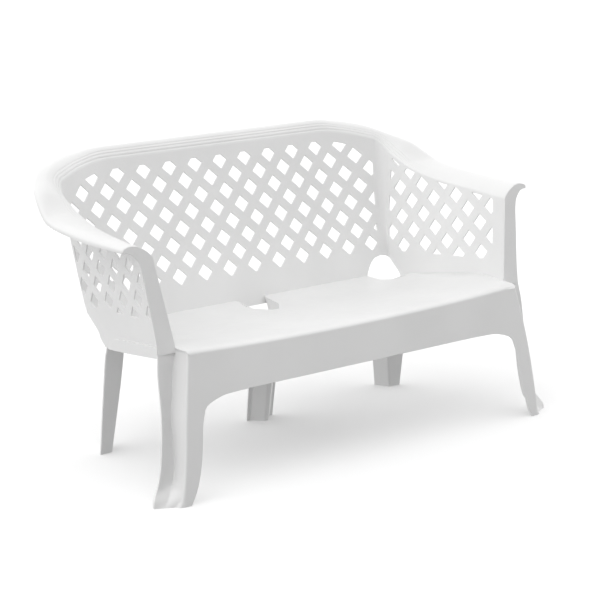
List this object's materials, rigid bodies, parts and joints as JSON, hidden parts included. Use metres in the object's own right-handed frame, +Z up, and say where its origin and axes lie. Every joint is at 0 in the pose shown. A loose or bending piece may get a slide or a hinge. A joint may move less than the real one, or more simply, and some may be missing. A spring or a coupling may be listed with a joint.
{
  "type": "garden bench",
  "caption": "Low two-seat garden bench moulded in one piece, with a wrap-round back and arms pierced by a diamond lattice, a rolled rim, a deep front apron and splayed channel legs.",
  "frame": {"origin": "On the floor under the middle of the bench: the centre of the bounding box's bottom face.", "axes": "+X runs along the bench towards the right-hand arm as seen from the front, +Y points from the front edge to the back, +Z is up."},
  "size_m": [1.38, 0.7215, 0.776],
  "materials": {
    "bench_plastic": "smooth satin moulded polypropylene, white"
  },
  "bodies": {
    "root": {"seat_panel": "bench_plastic", "underside_ribs": "bench_plastic", "front_apron": "bench_plastic", "side_skirt_left": "bench_plastic", "side_skirt_right": "bench_plastic", "rear_skirt_left": "bench_plastic", "rear_skirt_right": "bench_plastic", "front_leg_left": "bench_plastic", "front_leg_right": "bench_plastic", "rear_leg_left": "bench_plastic", "rear_leg_centre": "bench_plastic", "rear_leg_right": "bench_plastic", "arm_post_left": "bench_plastic", "arm_post_right": "bench_plastic", "arm_panel_left": "bench_plastic", "arm_panel_right": "bench_plastic", "arm_rim_left": "bench_plastic", "arm_rim_right": "bench_plastic", "corner_panel_left": "bench_plastic", "corner_panel_right": "bench_plastic", "corner_rim_left": "bench_plastic", "corner_rim_right": "bench_plastic", "back_panel": "bench_plastic", "back_rim": "bench_plastic"}
  },
  "joints": []
}
